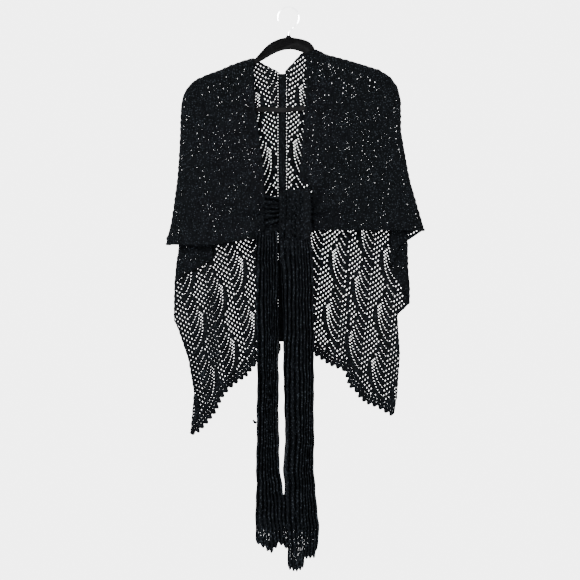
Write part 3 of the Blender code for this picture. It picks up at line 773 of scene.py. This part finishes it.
def above_line(line, eyelets, distance):
    """The eyelets that lie at least this far above a hem line, which runs from right to left."""
    right, left, top = line[0][0] + FAR_OUT, line[-1][0] - FAR_OUT, line[0][1] - FAR_UP
    region = [(right, line[0][1]), *line, (left, line[-1][1]), (left, top), (right, top)]
    gaps = edge_gap(region, [(e.across, e.down) for e in eyelets])
    return [e for e, gap in zip(eyelets, gaps) if gap > distance]


def back_opening(side, e):
    """How far open this eyelet of a back is."""
    from_outline = row_at(BACK_SECTIONS[side], e.down).fold_out - e.across
    opening = BACK_OPENING[side] - OUTER_CLOSING * ramp(e.across, *OUTER_OUTS)
    opening -= OUTLINE_CLOSING * (1 - ramp(from_outline, *OUTLINE_REACH))
    opening -= HEM_CLOSING * ramp(e.down, *HEM_DOWNS)
    return opening - NECK_CLOSING * (1 - ramp(e.down, *NECK_DOWNS)) * (1 - ramp(e.across, *NECK_OUTS))


def front_opening(side, e):
    """How far open this eyelet of a front is."""
    from_side = row_at(FRONT_SECTIONS[side], e.down).side - e.across
    gathered = math.exp(-math.hypot(e.across - KNOT_OUT, e.down - KNOT_DOWN) / KNOT_REACH)
    opening = FRONT_OPENING * (1 - KNOT_CLOSING * gathered)
    opening *= 1 + SHOULDER_GROWTH * (1 - ramp(e.down, *SHOULDER_DOWNS))
    return opening + FRONT_SIDE_GROWTH * (1 - ramp(from_side, *FRONT_SIDE_REACH))


def back_sheets(side, sign):
    """A back's main layer, and the cascade that its side turns over into."""
    name = "back_" + side
    inner = back_inner(sign)
    sections = BACK_SECTIONS[side]
    crest = [(out, row_at(BACK_CREST[side], out).down - uneven(out, 1))
             for out in spaced(inner, sections[0].fold_out, EDGE_STEP)]
    hem = back_hem_line(side, sign)
    picots = picot_line(hem, PICOT_HEIGHT, PICOT_PITCH)
    outline = [(row_at(sections, down).fold_out + uneven(down, 2), down)
               for down in spaced(crest[-1][1], picots[0][1] - 3, EDGE_STEP)]
    centre = [(inner - (HEM_CORNER[side] if down > SPINE_END + 3 else 0.0), down)
              for down in spaced(picots[-1][1] - 3, crest[0][1], 3.0)]
    polygon = closed_line(crest + outline + picots + centre)
    eyelets = edging_eyelets(hem)
    for down in spaced(crest[0][1] + LADDER_TOP, hem[-1][1] - LADDER_END, LADDER.down):
        eyelets.append(LADDER._replace(across=inner + LADDER.across, down=down))
    leaves = pinched(name, leaf_lace(LEAVES[name], inner, 260, 80, 900))
    eyelets += [resized(e, back_opening(side, e)) for e in above_line(hem, leaves, EDGING_REACH)]
    main = lace_sheet(polygon, eyelets, lambda x, y: back_place(side, sign, x, y))

    def widths_at(down):
        """Widths of the flap and of the outer layer."""
        section = row_at(sections, down)
        return abs(section.fold_out - section.fold_in), section.side - section.fold_in

    shift = sections[0].fold_out
    top = row_at(BACK_CREST[side], shift).down
    upper = [(out_of_crest(side, down) - shift, down) for down in spaced(top, sections[0].down, 5.0)]
    flap_edge = []
    for turn in spaced(2.0, 0.0, 0.05):
        down = row_at(SELVAGE[side], turn).down
        flap, outer = widths_at(down)
        flap_edge.append((flap * min(1, turn) + outer * max(0, turn - 1), down))
    side_line = [(sum(widths_at(down)) + uneven(down, 2), down)
                 for down in spaced(BACK_CREST[side][-1].down, flap_edge[0][1], EDGE_STEP)]
    fold_line = [(0.0, down) for down in spaced(flap_edge[-1][1], top, 6.0)]
    cascade = closed_line(upper + side_line + flap_edge + fold_line)
    flap_eyelets = []
    for e in leaf_lace(LEAVES[name], shift - 10, shift + 190, 120, 620):
        across = e.across - shift
        flap, outer = widths_at(e.down)
        opening = FLAP_OPENING
        if across >= flap:
            opening = LAYER_OPENING + LAYER_GROWTH * ramp(across - flap - outer, *LAYER_REACH)
        flap_eyelets.append(resized(e._replace(across=across), opening))
    layer = lace_sheet(cascade, flap_eyelets, lambda x, y: cascade_place(side, sign, x, y))
    return [main, layer]


def out_of_crest(side, down):
    """How far out the shoulder line is at this height, on its outer half."""
    rows = [row for row in BACK_CREST[side] if row.out > SHOULDER_OUT]
    for a, b in zip(rows, rows[1:]):
        if a.down <= down <= b.down:
            return between(a.out, b.out, (down - a.down) / (b.down - a.down))
    return rows[-1].out


def front_sheet(side, sign):
    """A front, and its hem as a line in the front view."""
    sections = FRONT_SECTIONS[side]
    crest = [(out, row_at(FRONT_CREST[side], out).down - uneven(out, 1))
             for out in spaced(sections[0].edge, sections[0].side, EDGE_STEP)]
    hem = []
    for share in spaced(1.0, 0.0, 0.03):
        down = row_at(FRONT_HEM[side], share).down
        section = row_at(sections, down)
        hem.append((between(section.edge, section.side, share), down))
    outline = [(row_at(sections, down).side + uneven(down, 2), down)
               for down in spaced(crest[-1][1], hem[0][1], EDGE_STEP)]
    edge = [(row_at(sections, down).edge, down) for down in spaced(hem[-1][1], crest[0][1], 5.0)]
    polygon = closed_line(crest + outline + hem + edge)
    eyelets = []
    for e in leaf_lace(LEAVES["front_" + side], 15, 290, 80, 490):
        if e.across - row_at(sections, e.down).edge > SELVAGE_WIDTH:
            eyelets.append(resized(e, front_opening(side, e)))
    return lace_sheet(polygon, eyelets, lambda x, y: front_place(side, sign, x, y), corners=SMALL_EYELET), hem


def rolled_edge(name, line, radius, material):
    """A rolled edge of the cloth along a line of points."""
    curve = bpy.data.curves.new(name, "CURVE")
    curve.dimensions = "3D"
    curve.bevel_depth = radius * MM
    curve.bevel_resolution = 3
    curve.use_fill_caps = True
    spline = curve.splines.new("POLY")
    spline.points.add(len(line) - 1)
    for k, (point, (x, y, z)) in enumerate(zip(spline.points, line)):
        point.co = (x * MM, y * MM, z * MM, 1.0)
        point.radius = 1 + 0.14 * math.sin(k * 1.9) + 0.1 * noise(k) + 0.4 * (1 - ramp(k, 0, 5))
    shape = new_object(name + "_curve", curve)
    bpy.context.view_layer.update()
    mesh = bpy.data.meshes.new_from_object(shape.evaluated_get(bpy.context.evaluated_depsgraph_get()))
    bpy.data.objects.remove(shape)
    mesh.name = name
    piece = piece_of(name, mesh, material)
    return piece


def pleated(place, pleats, seed, row):
    """Where a gathered cloth stands at this share of its width: its place across, and -1 to 1 in depth.

    Its pleats drift sideways and change in depth from row to row, and no two are alike.
    """
    drift = 0.55 * math.sin(row / 190 + seed) + 0.3 * math.sin(row / 80 + 5 * place + 2 * seed)
    p = place * pleats + drift + 0.55 * math.sin(5.3 * place + seed)
    k = math.floor(p)
    spread = place * pleats + 0.065 * math.sin(4 * math.pi * p)
    height = 0.7 + 0.18 * noise(k, seed) + 0.12 * math.sin(row / 80 + 2.4 * k + seed)
    return clamped(spread / pleats), height * math.cos(2 * math.pi * p)


def tail_sheet(side):
    """A gathered tail with its picot edging."""
    rows, flat_width, pleats = TAIL_ROWS[side], TAIL_FLAT[side], TAIL_PLEATS[side]
    start = rows[0].down

    def place(across, down):
        share = clamped(across / flat_width)
        spread, depth = pleated(share, pleats, 3 if side == "left" else 8, down)
        row = row_at(rows, down)
        depth += 0.09 * math.sin(down / 11 + 37 * share)
        wobble = 0.5 * math.sin(down / 7) + 0.5 * math.sin(down / 17)
        return between(row.left, row.right, spread) + wobble, row.middle + depth * row.pleat / 2, -down

    rise, lap = TAIL_TOP_RISE[side], TAIL_LAP[side]
    top = [(x, start - rise * x / flat_width - lap) for x in spaced(0, flat_width, 5.0)]
    end_line = []
    for share in spaced(1.0, 0.0, 0.02):
        down = row_at(TAIL_END[side], share).down + EDGING_WIDTH + 1.0
        end_line.append((share * flat_width, down))
    picots = picot_line(end_line, PICOT_HEIGHT, TAIL_PICOT_PITCH)
    right_edge = [(flat_width, down) for down in spaced(top[-1][1], picots[0][1] - 3, 6.0)]
    left_edge = [(0.0, down) for down in spaced(picots[-1][1] - 3, top[0][1], 6.0)]
    polygon = closed_line(top + right_edge + picots + left_edge)
    eyelets = edging_eyelets(end_line)
    leaves = leaf_lace(LEAVES["tail"], 0, flat_width, start - 10, 1200)
    for e in above_line(end_line, leaves, EDGING_REACH):
        eyelets.append(resized(e, TAIL_OPENING + TAIL_END_GROWTH * ramp(e.down, *TAIL_END_DOWNS)))
    return lace_sheet(polygon, eyelets, place, corners=SMALL_EYELET)


def wound_sheet():
    """The knot's wound stretch: along in X, pleated from top to bottom."""
    flat_width = 190.0

    def place(across, x):
        share = clamped(across / flat_width)
        spread, depth = pleated(share, WOUND_PLEATS, 5, x)
        row = row_at(WOUND_ROWS, x)
        return x, row.middle - depth * row.pleat / 2, -between(row.top, row.bottom + WOUND_LAP, spread)

    return strand_sheet(flat_width, WOUND_ROWS[0].x - SEAM_LAP, WOUND_ROWS[-1].x + SEAM_LAP, place)


def crossing_sheet():
    """The knot's crossing stretch: up behind, over the top and down the front."""
    flat_width = 105.0
    left, right = CROSSING_EDGES

    def place(across, along):
        share = clamped(across / flat_width)
        spread, depth = pleated(share, CROSSING_PLEATS, 11, along)
        before, row, after = (row_at(CROSSING_ROWS, along + aside) for aside in (-3, 0, 3))
        ahead, below = after.middle - before.middle, after.down - before.down
        size = max(1e-6, math.hypot(ahead, below))
        stand = depth * row.pleat / 2
        down = row.down + row.drop * (1 - spread) + ahead / size * stand
        return between(left, right, spread), row.middle - below / size * stand, -down

    return strand_sheet(flat_width, 0.0, CROSSING_ROWS[-1].along + 2 * SEAM_LAP, place)


def strand_sheet(flat_width, start, end, place):
    """A gathered stretch of lace between two places along it."""
    near = [(x, start) for x in spaced(0, flat_width, 4.0)]
    right_edge = [(flat_width, y) for y in spaced(start, end, 5.0)]
    far = [(x, end) for x in spaced(flat_width, 0, 4.0)]
    left_edge = [(0.0, y) for y in spaced(end, start, 5.0)]
    polygon = closed_line(near + right_edge + far + left_edge)
    eyelets = [resized(e, KNOT_OPENING) for e in leaf_lace(LEAVES["tail"], 0, flat_width, start, end)]
    return lace_sheet(polygon, eyelets, place, KNOT_FILLING, SMALL_EYELET)


def spine_sheet():
    """The joining band: three raised ribs of chained stitches."""
    columns, pitch, ribs = 12, 2.0, 3
    rows = round((SPINE_END - SPINE_TOP) / pitch)
    places = []
    for k in range(rows + 1):
        down = between(SPINE_TOP, SPINE_END, k / rows)
        depth = row_at(BACK_SECTIONS["left"], down).depth
        for j in range(columns + 1):
            u = j / columns
            rib = 0.5 - 0.5 * math.cos(2 * math.pi * ribs * u)
            chain = 0.5 + 0.5 * math.cos(math.pi * k + 2 * math.pi * 1.5 * u)
            bulge = 0.9 * rib * (0.55 + 0.45 * chain)
            x = CENTRE_BACK_X + (u - 0.5) * (SPINE_WIDTH + SEAM_LAP) + 0.2 * math.sin(down / 7)
            places.append((x, depth - bulge, -down))
    wide = columns + 1
    faces = [(k * wide + j, k * wide + j + 1, (k + 1) * wide + j + 1, (k + 1) * wide + j)
             for k in range(rows) for j in range(columns)]
    return places, faces


def ring_faces(first, rings, count):
    """Faces between closed rings of points that follow one another."""
    faces = []
    for start in range(first, first + (rings - 1) * count, count):
        for k in range(count):
            a, b = start + k, start + (k + 1) % count
            faces.append((a, b, b + count, a + count))
    return faces


def hanger_moulding(material):
    """The hanger's arms and arched neck as one moulding, with rounded edges."""
    left = [(-p.out, p.down) for p in ARM_OUTLINE["left"]]
    right = [(p.out, p.down) for p in ARM_OUTLINE["right"]]
    fine = smooth_outline(left + right[::-1])
    places = []
    normals = outline_normals(fine)
    for y, inset in MOULDING_LAYERS:
        for (x, down), (nx, nd) in zip(fine, normals):
            places.append((x - nx * inset, y, -(down - nd * inset)))
    count = len(fine)
    faces = ring_faces(0, len(MOULDING_LAYERS), count)
    faces.append(tuple(range(count)))
    faces.append(tuple(reversed(range(len(places) - count, len(places)))))
    first = len(places)
    for radius, down in HOOK_FOOT:
        for k in range(FOOT_SIDES):
            turn = 2 * math.pi * k / FOOT_SIDES
            places.append((radius * math.cos(turn), 0.5 * radius * math.sin(turn), -down))
    faces += ring_faces(first, len(HOOK_FOOT), FOOT_SIDES)
    faces.append(tuple(range(len(places) - FOOT_SIDES, len(places))))
    piece = new_piece("hanger_moulding", places, faces, material)
    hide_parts("hanger_arm_left", "hanger_arm_right")
    return piece


def smooth_outline(points):
    """A closed outline with its corners rounded by two rounds of corner cutting."""
    for _ in range(2):
        cut = []
        for a, b in zip(points, points[1:] + points[:1]):
            cut += [(between(a[0], b[0], share), between(a[1], b[1], share)) for share in (0.25, 0.75)]
        points = cut
    return points


def outline_normals(points):
    """Unit vectors that point out of a closed outline."""
    area = sum(a[0] * b[1] - b[0] * a[1] for a, b in zip(points, points[1:] + points[:1]))
    turn = 1 if area > 0 else -1
    found = []
    for before, after in zip(points[-1:] + points[:-1], points[1:] + points[:1]):
        dx, dy = after[0] - before[0], after[1] - before[1]
        size = max(1e-6, math.hypot(dx, dy))
        found.append((turn * dy / size, -turn * dx / size))
    return found


# Materials


def set_inputs(node, inputs):
    """Sets a node's inputs to values, or joins them to the outputs of other nodes."""
    for name, value in inputs.items():
        if isinstance(value, bpy.types.NodeSocket):
            node.id_data.links.new(value, node.inputs[name])
        else:
            node.inputs[name].default_value = value


def add_node(material, kind, inputs):
    node = material.node_tree.nodes.new(kind)
    set_inputs(node, inputs)
    return node


def new_material(name):
    """A material, its shader, and a texture's place on it."""
    material = bpy.data.materials.new(name)
    material.use_nodes = True
    place = add_node(material, "ShaderNodeTexCoord", {}).outputs["Object"]
    return material, material.node_tree.nodes["Principled BSDF"], place


def colour_range(material, value, dark, light, start=0.0, end=1.0):
    """Colours from dark to light where a texture's value goes from start to end."""
    node = add_node(material, "ShaderNodeValToRGB", {"Fac": value})
    for element, position, colour in zip(node.color_ramp.elements, (start, end), (dark, light)):
        element.position = position
        element.color = (*colour, 1)
    return node.outputs["Color"]


def yarn_material(name, dark, light, glint):
    """Black knitted yarn: fine fibres over stitches, a little colour variation, and painted highlights: small
    lighter spots in the base colour that stand in for the stitches' glints and soft sheen.
    """
    material, shader, place = new_material(name)
    stitches = add_node(material, "ShaderNodeTexVoronoi", {"Vector": place, "Scale": 420, "Randomness": 0.7})
    fibres = add_node(material, "ShaderNodeTexNoise", {"Vector": place, "Scale": 1600, "Detail": 3})
    shades = add_node(material, "ShaderNodeTexNoise",
                      {"Vector": place, "Scale": 60, "Detail": 6, "Roughness": 0.75})
    # Painted highlights: small spots of the glint colour, mixed into the base colour
    glints = add_node(material, "ShaderNodeTexVoronoi", {"Vector": place, "Scale": 250})
    glint_size = add_node(material, "ShaderNodeMapRange", {
        "Value": glints.outputs["Distance"],
        "From Min": 0.12, "From Max": 0.32, "To Min": 1.0, "To Max": 0.0})
    lit = add_node(material, "ShaderNodeMixRGB", {
        "Fac": glint_size.outputs["Result"],
        "Color1": colour_range(material, shades.outputs["Fac"], dark, light, 0.38, 0.68),
        "Color2": (*glint, 1),
    })
    knit = add_node(material, "ShaderNodeBump", {
        "Height": stitches.outputs["Distance"], "Strength": 0.7, "Distance": 0.0006})
    fuzz = add_node(material, "ShaderNodeBump", {
        "Height": fibres.outputs["Fac"], "Normal": knit.outputs["Normal"],
        "Strength": 0.5, "Distance": 0.0002})
    shine = add_node(material, "ShaderNodeMapRange", {
        "Value": stitches.outputs["Distance"], "To Min": 0.5, "To Max": 0.85})
    set_inputs(shader, {
        "Base Color": lit.outputs["Color"], "Normal": fuzz.outputs["Normal"],
        "Roughness": shine.outputs["Result"], "Specular IOR Level": 0.01,
    })
    return material


def flock_material():
    """Black flocking: very fine fibres that scatter light, slightly uneven."""
    material, shader, place = new_material("black_flocking")
    fibres = add_node(material, "ShaderNodeTexNoise", {"Vector": place, "Scale": 2600, "Detail": 2})
    patches = add_node(material, "ShaderNodeTexNoise", {"Vector": place, "Scale": 45}).outputs["Fac"]
    bump = add_node(material, "ShaderNodeBump", {
        "Height": fibres.outputs["Fac"], "Strength": 0.8, "Distance": 0.0003})
    colours = colour_range(material, patches, (0.0012, 0.0012, 0.0013), (0.003, 0.003, 0.0032), 0.3, 0.75)
    set_inputs(shader, {
        "Base Color": colours,
        "Normal": bump.outputs["Normal"], "Roughness": 0.95, "Specular IOR Level": 0.02,
    })
    return material


def steel_material():
    """Polished hook wire with fine drawing marks."""
    material, shader, place = new_material("polished_wire")
    marks = add_node(material, "ShaderNodeTexNoise", {"Vector": place, "Scale": 900}).outputs["Fac"]
    rough = add_node(material, "ShaderNodeMapRange", {"Value": marks, "To Min": 0.12, "To Max": 0.26})
    set_inputs(shader, {
        "Base Color": colour_range(material, marks, (0.72, 0.73, 0.75), (0.86, 0.86, 0.87)),
        "Roughness": rough.outputs["Result"], "Metallic": 1.0,
    })
    return material


def floor_material():
    """The pale floor of the studio, with a little grain."""
    material, shader, place = new_material("pale_floor")
    grain = add_node(material, "ShaderNodeTexNoise", {"Vector": place, "Scale": 8}).outputs["Fac"]
    set_inputs(shader, {
        "Base Color": colour_range(material, grain, (0.86, 0.86, 0.86), (0.9, 0.9, 0.9)),
        "Roughness": 0.9,
    })
    return material


# Studio, in metres


CAMERA_DISTANCE = 4.0
SENSOR_WIDTH = 36
VIEW_WIDTH = 1.195
VIEW_X = 0.003
VIEW_Z = -0.581
FLOOR_Z = -1.6
FLOOR_RADIUS = 2.0
BACKDROP_STRENGTH = 5.0
Lamp = namedtuple("Lamp", "name place size power")
LAMPS = (
    Lamp("key", (-1.6, -2.4, 0.6), 1.6, 380),
    Lamp("fill", (1.8, -2.2, -0.2), 1.8, 90),
    Lamp("top", (0.0, 0.4, 1.6), 1.5, 90),
)


def studio():
    """The backdrop, lamps, floor and camera."""
    world = bpy.data.worlds.new("studio")
    bpy.context.scene.world = world
    world.use_nodes = True
    backdrop = world.node_tree.nodes["Background"]
    backdrop.inputs["Color"].default_value = (1, 1, 1, 1)
    backdrop.inputs["Strength"].default_value = BACKDROP_STRENGTH
    for lamp in LAMPS:
        light = bpy.data.lights.new(lamp.name, "AREA")
        light.size = lamp.size
        light.energy = lamp.power
        stand = new_object(lamp.name, light, lamp.place)
        aim = Vector((0, 0, VIEW_Z)) - Vector(lamp.place)
        stand.rotation_euler = aim.to_track_quat("-Z", "Y").to_euler()
    mesh = bpy.data.meshes.new("floor")
    disc = bmesh.new()
    bmesh.ops.create_circle(disc, cap_ends=True, radius=FLOOR_RADIUS, segments=64)
    disc.to_mesh(mesh)
    disc.free()
    mesh.materials.append(floor_material())
    floor = new_object("floor", mesh, (0, 0, FLOOR_Z))
    camera_data = bpy.data.cameras.new("camera")
    camera_data.sensor_width = SENSOR_WIDTH
    camera_data.lens = SENSOR_WIDTH * CAMERA_DISTANCE / VIEW_WIDTH
    camera = new_object("camera", camera_data, (VIEW_X, -CAMERA_DISTANCE, VIEW_Z))
    camera.rotation_euler = (math.radians(90), 0, 0)
    bpy.context.scene.camera = camera


def main():
    """All pieces, their materials and the studio."""
    # The last colour of each yarn is its painted highlight. The tails' yarn is the same black yarn painted
    # lighter, with stronger painted highlights, so that the shaded pleats of the tails read lighter.
    yarn = yarn_material(
        "black_yarn", (0.00025, 0.00034, 0.00047), (0.0008, 0.001, 0.0013), (0.0062, 0.0076, 0.0094))
    gathered = yarn_material(
        "tail_yarn_painted_lighter", (0.0003, 0.0004, 0.00055), (0.0012, 0.0015, 0.0019), (0.0125, 0.015, 0.0185))
    flock = flock_material()
    for side, sign in (("left", -1), ("right", 1)):
        nodes = ["back_" + side, "hem_edging_" + side]
        back = cloth("lace_back_" + side, back_sheets(side, sign), yarn, nodes)
        sheet, hem = front_sheet(side, sign)
        front = cloth("lace_front_" + side, [sheet], yarn, ["front_" + side])
        line = [front_place(side, sign, out, down) for out, down in hem]
        roll = rolled_edge("rolled_hem_" + side, line, HEM_ROLL_RADIUS, yarn)
        nodes = ["tail_" + side, "tail_edging_" + side]
        tail = cloth("lace_tail_" + side, [tail_sheet(side)], gathered, nodes)
        ends = [rolled_edge("yarn_end", YARN_END, YARN_RADIUS, yarn)] if side == "left" else []
    wound = cloth("lace_knot_wound", [wound_sheet()], yarn, ["knot_wound"])
    crossing = cloth("lace_knot_crossing", [crossing_sheet()], yarn, ["knot_crossing"])
    band = cloth("centre_back_band", [spine_sheet()], yarn, ["spine"], SPINE_THICKNESS)
    hanger_moulding(flock)
    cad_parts["hanger_bar"].material_slots[0].material = flock
    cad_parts["hanger_hook"].material_slots[0].material = steel_material()
    studio()


main()
